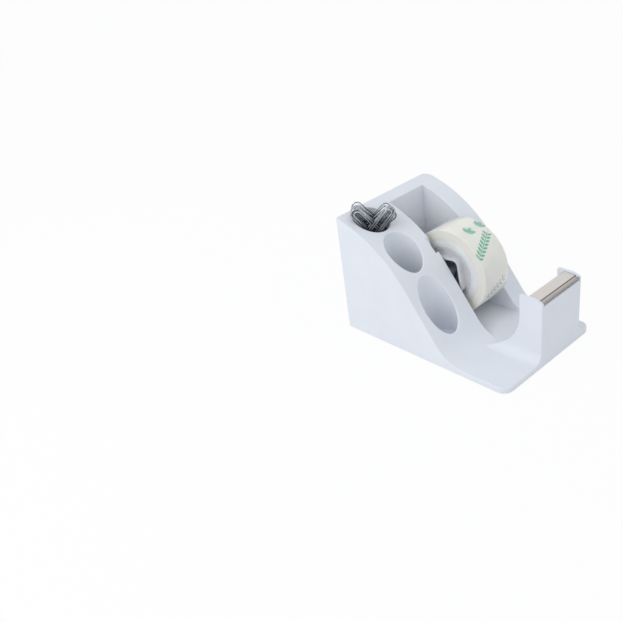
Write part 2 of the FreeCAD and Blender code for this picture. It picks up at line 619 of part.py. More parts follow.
# ---------------------------------------------------------------- tape, core, hub and axle
def ring(label, inner, outer):
    """A plain ring of the tape's width, about the roll's axle."""
    body = doc.addObject("PartDesign::Body", label)
    sketch = body_sketch(body, label + "_rings", "XZ_Plane")
    circle(sketch, "0", "0", outer)
    circle(sketch, "0", "0", inner)
    pad(body, label + "_width", sketch, "sizes.tape_width").Midplane = True
    return at_axle(body)


def at_axle(body, turn=0, faced=0):
    """Put a body on the axle, halfway across the channel, turned about it and faced about."""
    body.Placement.Rotation = (FreeCAD.Rotation(Vector(0, -1, 0), turn)
                               * FreeCAD.Rotation(Vector(0, 0, 1), faced))
    return bind(body, Placement_Base_x=AXLE_X, Placement_Base_y=ROLL_Y, Placement_Base_z=AXLE_Z)


tape_roll = ring("tape_roll", "(sizes.core_radius + sizes.running_fit)", "sizes.tape_radius")
tape_core = ring("tape_core", "sizes.core_bore", "sizes.core_radius")

HALF_TAPE = "(sizes.tape_width / 2)"
SOCKET_REACH = f"({CHANNEL_WIDTH} / 2 - sizes.socket_play)"
WEB_OUT = f"({HALF_TAPE} - sizes.rim_step - sizes.web_step)"


def socket_square(body, name, height, wall):
    """The socket's round-cornered square on the body's XZ plane, a wall's thickness larger."""
    sketch = body_sketch(body, name, "XZ_Plane", height)
    side = f"(sizes.window_size / 2 + {wall})"
    corner = f"(sizes.window_corner + {wall})"
    outline(sketch, [
        (f"-{side}", f"-{side}", corner),
        (side, f"-{side}", corner),
        (side, side, corner),
        (f"-{side}", side, corner),
    ])
    return sketch


def hub_half(label, faced):
    """One half of the spool: a rim, a web and a deep square socket with the axle in its floor."""
    body = doc.addObject("PartDesign::Body", label)
    sketch = body_sketch(body, label + "_section", "XY_Plane")
    rim = "(sizes.core_bore - sizes.core_fit)"
    rim_in = f"({rim} - sizes.hub_wall)"
    outline(sketch, [
        (rim_in, "0", None),
        (rim, "0", None),
        (rim, f"-({HALF_TAPE} - sizes.rim_step)", None),
        (rim_in, f"-({HALF_TAPE} - sizes.rim_step)", None),
        (rim_in, f"-{WEB_OUT}", None),
        ("0", f"-{WEB_OUT}", None),
        ("0", f"-({WEB_OUT} - sizes.hub_web)", None),
        (rim_in, f"-({WEB_OUT} - sizes.hub_web)", None),
    ])
    revolve(body, label + "_turned", sketch)
    block = socket_square(body, label + "_block", "sizes.socket_gap", "sizes.socket_wall")
    pad(body, label + "_block_pad", block, f"{SOCKET_REACH} - sizes.socket_gap")
    window = socket_square(body, label + "_window", SOCKET_REACH, "0")
    pocket(body, label + "_window_cut", window, f"{SOCKET_REACH} - sizes.socket_gap - sizes.hub_web",
           upwards=False)
    bore = body_sketch(body, label + "_bore", "XZ_Plane")
    circle(bore, "0", "0", "(sizes.shaft_radius + sizes.running_fit)")
    pocket(body, label + "_bore_cut", bore, HALF_TAPE)
    return at_axle(body, size("sizes.window_turn"), faced)


hub_near_half = hub_half("hub_near_half", 0)
hub_far_half = hub_half("hub_far_half", 180)

hub_axle = doc.addObject("PartDesign::Body", "hub_axle")
axle_sketch = body_sketch(hub_axle, "axle_section", "XY_Plane")
shoulder = f"({CHANNEL_WIDTH} / 2 - sizes.shaft_play)"
axle_end = f"({CHANNEL_WIDTH} / 2 + sizes.slot_depth - sizes.end_play)"
outline(axle_sketch, [
    ("0", f"-{axle_end}", None),
    ("sizes.journal_radius", f"-{axle_end}", None),
    ("sizes.journal_radius", f"-{shoulder}", None),
    ("sizes.shaft_radius", f"-{shoulder}", None),
    ("sizes.shaft_radius", shoulder, None),
    ("sizes.journal_radius", shoulder, None),
    ("sizes.journal_radius", axle_end, None),
    ("0", axle_end, None),
])
revolve(hub_axle, "axle_turned", axle_sketch)
at_axle(hub_axle)

# ---------------------------------------------------------------- paper clips
def paper_clip(label):
    """One bent-wire clip, standing on its lower bend in the body's XZ plane."""
    body = doc.addObject("PartDesign::Body", label)
    path = body_sketch(body, label + "_path", "XZ_Plane")
    half = "(sizes.clip_width / 2 - sizes.clip_wire)"
    top = "(sizes.clip_length - sizes.clip_wire)"
    inner = f"({half} - sizes.clip_nest)"
    inner_top = f"({top} - sizes.clip_nest - 2 * sizes.clip_wire)"
    outer_bend = f"({half} - sizes.clip_flat / 2)"
    lower_bend = f"({half} - sizes.clip_nest / 2 - sizes.clip_flat / 2)"
    inner_bend = f"({inner} - sizes.clip_flat / 2)"
    outline(path, [
        (f"-{half}", "(sizes.clip_length / 4)", None),
        (f"-{half}", top, outer_bend),
        (half, top, outer_bend),
        (half, "sizes.clip_wire", lower_bend),
        (f"-{inner}", "sizes.clip_wire", lower_bend),
        (f"-{inner}", inner_top, inner_bend),
        (inner, inner_top, inner_bend),
        (inner, "(sizes.clip_length / 3)", None),
    ], closed=False)
    section = body_sketch(body, label + "_section", "XY_Plane", "(sizes.clip_length / 4)")
    circle(section, f"-{half}", "0", "sizes.clip_wire")
    doc.recompute()
    pipe = body.newObject("PartDesign::AdditivePipe", label + "_wire")
    pipe.Profile = section
    pipe.Spine = path
    return body


def crest_height(x):
    """The height of the wedge's upper face at a place along the length."""
    upright = Part.makeLine(Vector(x, 0, size(CLIP_FLOOR)), Vector(x, 0, size(ABOVE)))
    return wedge_side.Shape.distToShape(upright)[1][0][0].z


def stand_clip(body, row, lean):
    """Stand a clip in the well: its row across the well, and its side and share of full lean."""
    play, wire = size("sizes.clip_play"), size("sizes.clip_wire")
    bend = size("sizes.clip_width / 2 - sizes.clip_nest / 2 - sizes.clip_flat / 2")
    foot = size("sizes.clip_nest / 2")
    flat = size("sizes.clip_flat / 2")
    turn = size("sizes.clip_fan") + (180 if lean < 0 else 0)
    across = Vector(math.cos(math.radians(turn)), math.sin(math.radians(turn)), 0)
    forward = Vector(math.sin(math.radians(size("sizes.clip_fan"))),
                     -math.cos(math.radians(size("sizes.clip_fan"))), 0)
    middle = Vector(size(CLIP_WELL_X), size("sizes.well_y"), 0) + forward * row
    reach = math.sqrt((size("sizes.well_radius") - play) ** 2 - (abs(row) + wire) ** 2)
    rim = middle + across * reach
    rise = crest_height(rim.x) - size(CLIP_FLOOR) - bend
    run = 2 * reach - bend
    full = math.atan2(run, rise) - math.asin((bend + flat + play) / math.hypot(run, rise))
    tilt = full * abs(lean)
    low = bend * math.cos(tilt) - (foot + flat) * math.sin(tilt)
    back = (foot - flat) * math.cos(tilt) + bend * math.sin(tilt)
    base = middle + across * (play + bend - reach - back)
    base.z = size(CLIP_FLOOR) + play / 2 + bend - low
    body.Placement = FreeCAD.Placement(
        base, FreeCAD.Rotation(Vector(0, 0, 1), turn) * FreeCAD.Rotation(Vector(0, 1, 0), math.degrees(tilt)))


# Seen from the front corner the clips fan out over the rim on both sides, each resting on it
# or nearly so, and the rear of the well stays free to reach in.
CLIP_LEANS = (-0.97, 0.95, -1, 1, -0.94, 0.92, -1, 1, -0.96, 0.9, -1, 0.97)
clips = []
for i, lean in enumerate(CLIP_LEANS):
    clip = paper_clip(f"paper_clip_{i + 1:02d}")
    stand_clip(clip, size(f"sizes.clip_first_gap - sizes.well_radius + sizes.clip_pitch * {i}"), lean)
    clips.append(clip)

# ---------------------------------------------------------------- check and write
doc.recompute()
for item in doc.Objects:
    if any(word in item.State for word in ("Invalid", "Error")):
        raise RuntimeError(f"{item.Name} did not build: {item.State}")

NODES = [body_shell, cover, cover_screws, *feet, side_weight, post_weight, cutter_plate,
         tape_roll, tape_core, hub_near_half, hub_far_half, hub_axle, *clips]
for item in NODES:
    if item.Shape.isNull() or not item.Shape.isValid():
        raise RuntimeError(f"{item.Label} has no sound shape")
os.makedirs("parts", exist_ok=True)
for item in NODES:
    item.Shape.exportStep(f"parts/{item.Label}.step")
    bounds = item.Shape.BoundBox
    print(f"{item.Label:16s} {item.Shape.Volume:10.1f} mm3  {len(item.Shape.Solids)} solid(s)",
          f"z {bounds.ZMin:.1f} to {bounds.ZMax:.1f}")
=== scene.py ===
# %% [markdown]
# # A desk tape dispenser with wells
#
# The dispenser is a heavy wedge of moulded plastic. A roll of tape turns in a channel on a
# lift-out hub, a post at the front carries the toothed cutter, and round wells down the near side
# hold pens and paper clips. The solid pieces come ready made, in metres, each in its own place.
# This lesson gives them their finishes and builds the pieces whose look needs more than a plain
# solid: the wound tape, its core, the two halves of the hub, the axle, the feet and the screws.
#
# Loading the solids first fixes the frame. Everything made afterwards is measured from them, so
# that a new piece always sits on what carries it.

# %% Load the solids
import json
import math
import random

import bmesh
import bpy
from mathutils import Matrix, Vector


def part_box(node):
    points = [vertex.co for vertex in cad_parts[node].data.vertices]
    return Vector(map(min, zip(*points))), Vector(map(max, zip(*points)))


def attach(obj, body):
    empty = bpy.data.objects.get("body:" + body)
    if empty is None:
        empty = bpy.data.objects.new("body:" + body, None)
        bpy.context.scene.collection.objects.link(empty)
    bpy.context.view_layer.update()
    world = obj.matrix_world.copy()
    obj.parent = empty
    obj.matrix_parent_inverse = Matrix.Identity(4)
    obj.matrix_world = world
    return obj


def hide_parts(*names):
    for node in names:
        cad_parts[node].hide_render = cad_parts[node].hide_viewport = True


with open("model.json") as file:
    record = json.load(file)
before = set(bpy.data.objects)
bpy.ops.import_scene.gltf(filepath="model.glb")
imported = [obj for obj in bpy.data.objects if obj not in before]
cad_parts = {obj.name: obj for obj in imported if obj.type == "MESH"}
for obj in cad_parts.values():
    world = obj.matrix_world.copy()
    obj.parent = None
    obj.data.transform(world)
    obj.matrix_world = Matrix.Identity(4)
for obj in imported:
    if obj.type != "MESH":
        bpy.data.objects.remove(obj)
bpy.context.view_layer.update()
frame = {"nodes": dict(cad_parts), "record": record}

MM = 0.001
nodes = frame["nodes"]
print("solids loaded:", len(nodes))

# %% [markdown]
# ## The camera
#
# A camera can be aimed with a tracking constraint or by its own three directions. Here the
# directions are worked out, because the view is turned round the object, raised above the desk
# and also rolled a little, and a tracked camera has no roll of its own.

# %% Camera
VIEW_TURN, VIEW_RISE, VIEW_ROLL = (math.radians(v) for v in (52.50, 30.61, -8.99))
VIEW_AIM = Vector((0, 0, 32.67)) * MM
VIEW_STAND = Vector((-105.22, -16.00, 537.88)) * MM
LENS = 44.96
NEAREST, FARTHEST = 0.01, 20

back = Vector((math.sin(VIEW_TURN) * math.cos(VIEW_RISE),
               -math.cos(VIEW_TURN) * math.cos(VIEW_RISE), math.sin(VIEW_RISE)))
level = Vector((0, 0, 1)).cross(back).normalized()
upright = back.cross(level)
right = level * math.cos(VIEW_ROLL) + upright * math.sin(VIEW_ROLL)
up = upright * math.cos(VIEW_ROLL) - level * math.sin(VIEW_ROLL)
place = VIEW_AIM + right * VIEW_STAND.x + up * VIEW_STAND.y + back * VIEW_STAND.z

camera = bpy.data.objects.new("camera", bpy.data.cameras.new("camera"))
bpy.context.collection.objects.link(camera)
camera.data.lens = LENS
camera.data.clip_start, camera.data.clip_end = NEAREST, FARTHEST
camera.matrix_world = Matrix.Translation(place) @ Matrix((right, up, back)).transposed().to_4x4()
bpy.context.scene.camera = camera
bpy.context.scene.view_settings.view_transform = "Standard"
print("camera stands at, mm:", [round(v / MM) for v in place])

# %% [markdown]
# ## Writing a finish as a sum
#
# A material is a net of nodes. Wired by hand it soon hides what it does, so a small class wraps
# one output socket: adding or multiplying two of them adds the Math node that does it.

# %% Sums of sockets
class Wire:
    """One output of a node, which can be added, multiplied and so on."""

    def __init__(self, net, socket):
        self.net, self.socket = net, socket

    def _maths(self, operation, *values):
        return self.net.node("ShaderNodeMath", {"operation": operation}, dict(enumerate(values)))

    def __add__(self, other):
        return self._maths("ADD", self, other)

    def __sub__(self, other):
        return self._maths("SUBTRACT", self, other)

    def __rsub__(self, other):
        return self._maths("SUBTRACT", other, self)

    def __mul__(self, other):
        return self._maths("MULTIPLY", self, other)

    def __truediv__(self, other):
        return self._maths("DIVIDE", self, other)

    __radd__, __rmul__ = __add__, __mul__

    def apply(self, operation, *others):
        """Any other operation of the Math node."""
        return self._maths(operation, self, *others)

    def step(self, low, high):
        """0 below low, 1 above high, and smooth between."""
        return self.net.node("ShaderNodeMapRange", {"interpolation_type": "SMOOTHSTEP"},
                             {"Value": self, "From Min": low, "From Max": high})

    def beside(self, name):
        """Another output of the same node."""
        return Wire(self.net, self.socket.node.outputs[name])


print("sums of sockets ready")

# %% [markdown]
# ## One way to add a node
#
# Every other node comes from one method, which takes its kind, its settings and its inputs. A
# net can belong to the sky as well as to a material, so the part that both need is a class of
# its own. A finish adds to it what only a material has: its one shader, places on the piece,
# noise and relief.

# %% Nets of nodes
class Net:
    """A tree of shader nodes, such as a finish's or the sky's."""

    def __init__(self, tree):
        self.tree = tree

    def node(self, kind, settings=None, inputs=None, out=0):
        """Adds a node and gives one of its outputs. A colour is written as three numbers."""
        made = self.tree.nodes.new(kind)
        for key, value in (settings or {}).items():
            setattr(made, key, value)
        for key, value in (inputs or {}).items():
            socket = made.inputs[key]
            if isinstance(value, Wire):
                self.tree.links.new(value.socket, socket)
            else:
                socket.default_value = (*value, 1) if socket.type == "RGBA" else value
        return Wire(self, made.outputs[out])

    def show(self, output, wire):
        """Leads a finished shader to the tree's output."""
        self.tree.links.new(wire.socket, self.tree.nodes[output].inputs[0])


class Finish(Net):
    """A material, made round one Principled shader."""

    def __init__(self, name, **constants):
        self.material = bpy.data.materials.new(name)
        self.material.use_nodes = True
        super().__init__(self.material.node_tree)
        self.shader = self.tree.nodes["Principled BSDF"]
        for key, value in constants.items():
            self.shader.inputs[key.replace("_", " ")].default_value = value
        self.place = self.node("ShaderNodeTexCoord", out="Object")

    def noise(self, size, detail=2.0, stretch=(1, 1, 1)):
        """Noise whose lumps are about size millimetres, drawn out along an axis by its stretch."""
        spread = self.node("ShaderNodeMapping", None,
                           {"Vector": self.place, "Scale": [1 / s for s in stretch]})
        return self.node("ShaderNodeTexNoise", None,
                         {"Vector": spread, "Scale": 1 / (size * MM), "Detail": detail})

    def mix(self, share, first, second):
        """A colour between two, by share."""
        return self.node("ShaderNodeMix", {"data_type": "RGBA"},
                         {0: share, 6: first, 7: second}, out=2)

    def bump(self, height, depth):
        """Relief of about depth millimetres from a height between 0 and 1."""
        relief = {"Height": height, "Distance": depth * MM}
        self.set("Normal", self.node("ShaderNodeBump", None, relief))

    def set(self, name, wire):
        """Feeds one of the shader's own inputs."""
        self.tree.links.new(wire.socket, self.shader.inputs[name])


print("nets of nodes ready")

# %% [markdown]
# ## The plastics
#
# The body, the cover, the hub and the core are all moulded, and the feet and the hidden weights
# have the same kind of dull skin. One flat colour would look like paint. A moulding has a faint
# cloud in its colour, a fine grain from the mould and an uneven sheen, so one function gives all
# three. What sets the pieces apart is how pale they are, how fine the grain is, and how much
# light goes into them.

# %% Plastic finishes
CLOUD_SIZE, SHEEN_SIZE = 18, 6
SHEEN_UNEVEN, GRAIN_UNEVEN = 0.10, 0.06
CLOUDY = (0.35, 0.65)


def moulded(name, light, dark, rough, grain, depth, **constants):
    """A moulded skin, with the size of its grain and its depth in millimetres."""
    made = Finish(name, **constants)
    made.set("Base Color", made.mix(made.noise(CLOUD_SIZE).step(*CLOUDY), dark, light))
    fine = made.noise(grain, 3)
    uneven = SHEEN_UNEVEN * (made.noise(SHEEN_SIZE) - 0.5) + GRAIN_UNEVEN * (fine - 0.5)
    made.set("Roughness", rough + uneven)
    made.bump(fine, depth)
    return made


shell_plastic = moulded("shell_plastic", (0.806, 0.832, 0.880), (0.788, 0.814, 0.866),
                        0.50, 0.5, 0.012, Specular_IOR_Level=0.30)
cover_plastic = moulded("cover_plastic", (0.62, 0.65, 0.70), (0.58, 0.61, 0.66), 0.60, 0.6, 0.03)
hub_plastic = moulded("hub_plastic", (0.63, 0.633, 0.655), (0.58, 0.583, 0.605),
                      0.40, 0.5, 0.01)
core_plastic = moulded("core_plastic", (0.82, 0.82, 0.825), (0.74, 0.74, 0.74), 0.40, 0.7, 0.015,
                       Subsurface_Weight=0.35, Subsurface_Scale=0.002)
axle_plastic = moulded("axle_plastic", (0.34, 0.335, 0.37), (0.28, 0.275, 0.31),
                       0.45, 0.5, 0.01)
foot_rubber = moulded("foot_rubber", (0.050, 0.050, 0.055), (0.032, 0.032, 0.036),
                      0.85, 0.35, 0.08)
weight_iron = moulded("weight_iron", (0.22, 0.22, 0.23), (0.15, 0.15, 0.155), 0.70, 1.2, 0.12,
                      Metallic=0.6)
print("moulded finishes: 7")

# %% [markdown]
# ## The metals
#
# The cutter is sheet steel brushed along its length, so its noise is drawn out along Y. The
# screws and the clips are plated, with an uneven shine. All three are bare metal, so one
# function makes them and gives back the colour too, as two of them get painted shade later.

# %% Metal finishes
BRUSHED_ALONG_Y = (1, 40, 1)
NOT_BRUSHED = (1, 1, 1)
STREAK_UNEVEN = 0.16
PATCHY = (0.3, 0.7)


def metal(name, light, dark, rough, grain, stretch, depth):
    """A bare metal finish and its colour."""
    made = Finish(name, Metallic=1.0)
    streaks = made.noise(grain, 4, stretch)
    colour = made.mix(streaks.step(*PATCHY), dark, light)
    made.set("Base Color", colour)
    made.set("Roughness", rough + STREAK_UNEVEN * (streaks - 0.5))
    made.bump(streaks, depth)
    return made, colour


cutter_steel, brushed = metal("cutter_steel", (0.665, 0.640, 0.615), (0.635, 0.610, 0.588),
                              0.38, 0.3, BRUSHED_ALONG_Y, 0.004)
screw_steel, _ = metal("screw_steel", (0.60, 0.60, 0.61), (0.50, 0.50, 0.51),
                       0.38, 0.6, NOT_BRUSHED, 0.01)
clip_wire, plated = metal("clip_wire", (0.60, 0.62, 0.66), (0.32, 0.34, 0.38),
                          0.26, 1.5, NOT_BRUSHED, 0.004)
print("metals: 3")

# %% [markdown]
# ## Painted shade on the metals
#
# The cutter's fold and the strip behind its teeth are darkened in the colour itself: painted
# shade, darker and browner towards the teeth. Little light reaches the clips' lower ends in
# their well. A tighter bundle would shade itself, but these clips stand apart, so the colour
# itself falls off below the rim of the well, and single wires stand out above it.

# %% Painted shade
FOLD_SETBACK, FOLD_WIDTH, FOLD_BLUR = 3.4, 0.6, 0.2
TEETH_FROM, TEETH_BLUR = 1.9, 0.5
# The two colours below are painted shade: in the cutter's fold, and on the strip behind its teeth.
FOLD_SHADE, TEETH_SHADE = (0.12, 0.10, 0.095), (0.28, 0.215, 0.205)
FOLD_SHADE_SHARE, TEETH_SHADE_SHARE = 0.85, 0.55
SHADE_BELOW_RIM, SHADE_ABOVE_RIM = 6, 4
SHADED_WIRE = (0.16, 0.175, 0.20)


def split(place):
    """The three parts of a place."""
    parts = place.net.node("ShaderNodeSeparateXYZ", None, {"Vector": place})
    return parts, parts.beside("Y"), parts.beside("Z")


fold_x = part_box("cutter_plate")[1].x / MM - FOLD_SETBACK
ahead = split(cutter_steel.place)[0] / MM - fold_x
in_fold = ahead.step(0.0, FOLD_BLUR) * (1 - (ahead - FOLD_WIDTH).step(0.0, FOLD_BLUR))
# Painted shade beneath the teeth: a darker, browner strip at the front edge.
on_teeth = (ahead - TEETH_FROM).step(0.0, TEETH_BLUR)
# Painted shade: the fold is darkened first, then the strip towards the teeth.
fold_shaded = cutter_steel.mix(in_fold * FOLD_SHADE_SHARE, brushed, FOLD_SHADE)
cutter_steel.set("Base Color", cutter_steel.mix(on_teeth * TEETH_SHADE_SHARE, fold_shaded, TEETH_SHADE))

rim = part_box("body_shell")[1].z / MM
wire_height = split(clip_wire.place)[2] / MM
in_light = wire_height.step(rim - SHADE_BELOW_RIM, rim + SHADE_ABOVE_RIM)
clip_wire.set("Base Color", clip_wire.mix(in_light, SHADED_WIRE, plated))
print("fold of the cutter, mm:", round(fold_x, 2), "rim of the wells, mm:", round(rim, 2))

# %% [markdown]
# ## Places on the film
#
# Wound film shows two faces. Its flat sides are the edges of hundreds of turns, a stack of fine
# rings, and its outer face is smooth and carries a print. The print could be an image, but sums
# stay sharp at any size. They need a place on the film: how far round the roll, from the angle
# at the axle, and how far across it. The print then repeats twice in a turn.

# %% Places on the film
OUTER_SKIN_FROM, OUTER_SKIN_TO = 0.25 * MM, 0.12 * MM
REPEATS = 2

tape_low, tape_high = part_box("tape_roll")
axle = (tape_low + tape_high) / 2
tape_radius = (tape_high.z - tape_low.z) / 2
half_tape = (tape_high.y - tape_low.y) / 2
print_length = 2 * math.pi * tape_radius / MM / REPEATS

tape_film = Finish("tape_film", Subsurface_Weight=0.25, Subsurface_Scale=0.0015,
                   Coat_Roughness=0.12)
spot = tape_film.node("ShaderNodeMapping", None, {"Vector": tape_film.place, "Location": -axle})
along_x, across_y, up_z = split(spot)
radius = (along_x * along_x + up_z * up_z).apply("SQRT")
round_film = up_z.apply("ARCTAN2", along_x) * (tape_radius / MM)
over_film = across_y / MM
on_outside = radius.step(tape_radius - OUTER_SKIN_FROM, tape_radius - OUTER_SKIN_TO)
print("tape radius, mm:", round(tape_radius / MM, 1))
print("the print repeats every, mm:", round(print_length, 1))

# %% [markdown]
# ## Leaves
#
# The print is sparse: a leafy sprig that runs slantwise over the film, two clusters of leaves
# beside it, and a duller sprig further on. All of it is built from one pointed leaf. A leaf is
# where a curve along it, less its distance from the midrib, stays above nothing. That is quick
# to work out and gives two pointed ends. A sprig folds its two sides together and repeats the
# leaf down the stem.

# %% Leaves and sprigs
LEAFLET_STEP, LEAFLET_LENGTH, LEAFLET_WIDTH, LEAFLET_SLANT = 3.2, 4.4, 1.9, 52
LEAFLET_ASIDE = 1.9
STEM_FROM, STEM_TO = 0.18, 0.34
TIP_FADE = 0.4


def slanting(u, v, lean):
    """Places along and across a line that leans by so many degrees."""
    c, s = math.cos(math.radians(lean)), math.sin(math.radians(lean))
    return u * c + v * s, v * c - u * s


def on_film(along, across, lean):
    """Places from a spot on the film, along and across a line that leans over it."""
    turn = ((round_film - along) / print_length + 0.5).apply("FRACT")
    return slanting(turn * print_length - print_length / 2, over_film - across, lean)


def leaf(u, v, length, width, soft=0.25):
    """1 inside a pointed leaf that lies along u, 0 outside it."""
    edge = 1 - (u / (length / 2)).apply("POWER", 2) - (v / (width / 2)).apply("ABSOLUTE")
    return edge.step(0.0, soft)


def sprig(u, v, reach):
    """A straight stem with slanting leaflets down both of its sides."""
    aside = v.apply("ABSOLUTE")
    within = ((u / LEAFLET_STEP).apply("FRACT") - 0.5) * LEAFLET_STEP
    along, across = slanting(within, aside - LEAFLET_ASIDE, LEAFLET_SLANT)
    leaflets = leaf(along, across, LEAFLET_LENGTH, LEAFLET_WIDTH)
    stem = 1 - aside.step(STEM_FROM, STEM_TO)
    inside = 1 - u.apply("ABSOLUTE").step(reach - TIP_FADE, reach)
    return leaflets.apply("MAXIMUM", stem) * inside


print("leaflets every, mm:", LEAFLET_STEP)

# %% [markdown]
# ## The print
#
# Green ink on clear film tints what is round it. So the first sprig and each cluster have a
# pale cloud under them, cut from the same leaf with a softer edge. The places are given as
# millimetres round the roll and across it, and the way each group leans.

# %% The print
SPRIG_AT, SPRIG_REACH = (25.0, -1.8, 59), 12.5
LOW_SPRIG_AT, LOW_SPRIG_REACH = (-9.0, 0.6, 57), 10.5
CLUSTERS_AT = ((39.5, 7.6, 80), (38.2, -4.2, 65))
LEAF_LENGTH, LEAF_WIDTH, LEAF_FROM_STALK = 7.0, 2.9, 3.4
LEAF_FAN = (-45, 0, 45)
VEIN_FROM, VEIN_TO, VEIN_PALENESS = 0.10, 0.30, 0.6
CLOUD_PER_REACH, CLOUD_WIDTH, CLOUD_SOFT = 2.5, 9.0, 0.5
HALO_SIZE, HALO_FROM_STALK = 11.0, 3.0

along_sprig, across_sprig = on_film(*SPRIG_AT)
ink = sprig(along_sprig, across_sprig, SPRIG_REACH)
cloud = leaf(along_sprig, across_sprig, CLOUD_PER_REACH * SPRIG_REACH, CLOUD_WIDTH, CLOUD_SOFT)
for cluster in CLUSTERS_AT:
    along_stalk, across_stalk = on_film(*cluster)
    for aside in LEAF_FAN:
        u, v = slanting(along_stalk, across_stalk, aside)
        vein = 1 - v.apply("ABSOLUTE").step(VEIN_FROM, VEIN_TO)
        one_leaf = leaf(u - LEAF_FROM_STALK, v, LEAF_LENGTH, LEAF_WIDTH)
        ink = ink.apply("MAXIMUM", one_leaf * (1 - VEIN_PALENESS * vein))
    halo = leaf(along_stalk - HALO_FROM_STALK, across_stalk, HALO_SIZE, HALO_SIZE, CLOUD_SOFT)
    cloud = cloud.apply("MAXIMUM", halo)
low_ink = sprig(*on_film(*LOW_SPRIG_AT), LOW_SPRIG_REACH)
print("clusters of leaves:", len(CLUSTERS_AT))

# %% [markdown]
# ## The film's colour
#
# The edges of the turns are worked out from the distance to the axle alone, because noise in
# one dimension along it gives rings that close. The outer face has a glossy coat and the sides
# have none. The inks are laid over the two last, and only on the outer face.

# %% Film colours
TURN_SIZE = 0.22 * MM
FILM_PATCH, FILM_SHEEN, FILM_WAVE = 14, 4, 9
GREEN, MINT, OLIVE = (0.105, 0.400, 0.270), (0.42, 0.76, 0.60), (0.150, 0.185, 0.110)
GREEN_SHARE, MINT_SHARE, OLIVE_SHARE = 0.85, 0.50, 0.50
SIDE_ROUGH, SMOOTHER_OUTSIDE, FILM_COAT = 0.42, 0.20, 0.35

turns = tape_film.node("ShaderNodeTexNoise", {"noise_dimensions": "1D"},
                       {"W": radius / TURN_SIZE, "Scale": 1.0, "Detail": 3.0})
edges = tape_film.mix(turns.step(*PATCHY), (0.79, 0.765, 0.690), (0.86, 0.840, 0.775))
patches = tape_film.noise(FILM_PATCH).step(*PATCHY)
outer_face = tape_film.mix(patches, (0.83, 0.815, 0.745), (0.87, 0.860, 0.800))
film = tape_film.mix(on_outside, edges, outer_face)
tinted = tape_film.mix(cloud * on_outside * MINT_SHARE, film, MINT)
printed = tape_film.mix(ink * on_outside * GREEN_SHARE, tinted, GREEN)
tape_film.set("Base Color", tape_film.mix(low_ink * on_outside * OLIVE_SHARE, printed, OLIVE))
uneven = 0.08 * (tape_film.noise(FILM_SHEEN) - 0.5)
tape_film.set("Roughness", SIDE_ROUGH - SMOOTHER_OUTSIDE * on_outside + uneven)
tape_film.set("Coat Weight", FILM_COAT * on_outside)
tape_film.bump(turns * (1 - on_outside) + 0.15 * tape_film.noise(FILM_WAVE), 0.05)
print("nodes in the film's finish:", len(tape_film.tree.nodes))

# %% [markdown]
# ## Turned pieces
#
# The tape, its core, the axle, the feet and the screws are all round. A round piece could be
# spun from a section. Here a circle of edges is extruded from ring to ring instead, and each new
# ring is scaled and moved, because the rings then read as a plain list of radii and heights.
# A tube's last ring is bridged to its first, and any other piece is filled at both ends.

# %% Helpers for turned pieces
UPRIGHT = Matrix()
SHARP = math.radians(35)


def verts_of(geometry):
    """The vertices among what an operator gave back."""
    return [g for g in geometry if isinstance(g, bmesh.types.BMVert)]


def soften(mesh, width, segments=2):
    """Bevels every edge where two faces meet sharply."""
    bmesh.ops.recalc_face_normals(mesh, faces=mesh.faces)
    sharp = [e for e in mesh.edges if e.is_manifold and e.calc_face_angle() > SHARP]
    bmesh.ops.bevel(mesh, geom=sharp, offset=width, segments=segments, profile=0.5, material=-1,
                    affect="EDGES", clamp_overlap=True)


def turned(rings, steps, tube, stand=UPRIGHT, arris=0.0):
    """A turned piece about Z, from rings of radius and height, then stood in its place."""
    mesh = bmesh.new()
    (radius, height), *others = rings
    bmesh.ops.create_circle(mesh, segments=steps, radius=radius,
                            matrix=Matrix.Translation((0, 0, height)))
    first = last = mesh.edges[:]
    for wider, higher in others:
        grown = bmesh.ops.extrude_edge_only(mesh, edges=last)["geom"]
        ring = verts_of(grown)
        bmesh.ops.scale(mesh, vec=(wider / radius, wider / radius, 1), verts=ring)
        bmesh.ops.translate(mesh, vec=(0, 0, higher - height), verts=ring)
        new_edges = [g for g in grown if isinstance(g, bmesh.types.BMEdge)]
        last = [e for e in new_edges if all(v in ring for v in e.verts)]
        radius, height = wider, higher
    if tube:
        bmesh.ops.bridge_loops(mesh, edges=first + last)
    else:
        bmesh.ops.holes_fill(mesh, edges=first + last)
    if arris:
        soften(mesh, arris)
    bmesh.ops.transform(mesh, matrix=stand, verts=mesh.verts)
    return mesh


ON_AXLE = Matrix.Translation(axle) @ Matrix.Rotation(math.radians(90), 4, "X")
print("axle stands at, mm:", [round(v / MM, 2) for v in axle])

# %% [markdown]
# ## From a mesh to a piece
#
# A finished piece has to move with what carries it, hide the plain solids it stands for, and
# bear one finish. Doing all of that in one place keeps any piece from missing a step. Its faces
# are shaded smooth, except across corners that are meant to be seen.

# %% Finishing a piece
def finish_piece(name, mesh, body, finish, slot, *stood_for):
    """Turns a bmesh into a piece that rides on a body and stands for its solids."""
    bmesh.ops.recalc_face_normals(mesh, faces=mesh.faces)
    data = bpy.data.meshes.new(name)
    mesh.to_mesh(data)
    mesh.free()
    data.shade_smooth()
    data.set_sharp_from_angle(angle=SHARP)
    data.materials.append(finish.material)
    piece = bpy.data.objects.new(name, data)
    bpy.context.collection.objects.link(piece)
    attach(piece, body)
    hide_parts(*stood_for)
    print(f"{name}: {len(data.polygons)} faces")


print("corners stay crisp from, degrees:", round(math.degrees(SHARP)))

# %% [markdown]
# ## The wound tape
#
# A roll of tape is a strip of film wound hundreds of times. Modelling every turn would need
# millions of faces. A plain ring is too clean, because the turns never line up exactly. So the
# two flat sides are made of many rings, each set a few hundredths of a millimetre in at random.

# %% Wound tape
TURN_GROUPS, ROLL_STEPS = 44, 160
UNEVEN = 0.09 * MM
TAPE_ARRIS = 0.35 * MM
ROUND_MIDDLE = 0.3 * TAPE_ARRIS
CORE_PLAY = 0.05 * MM

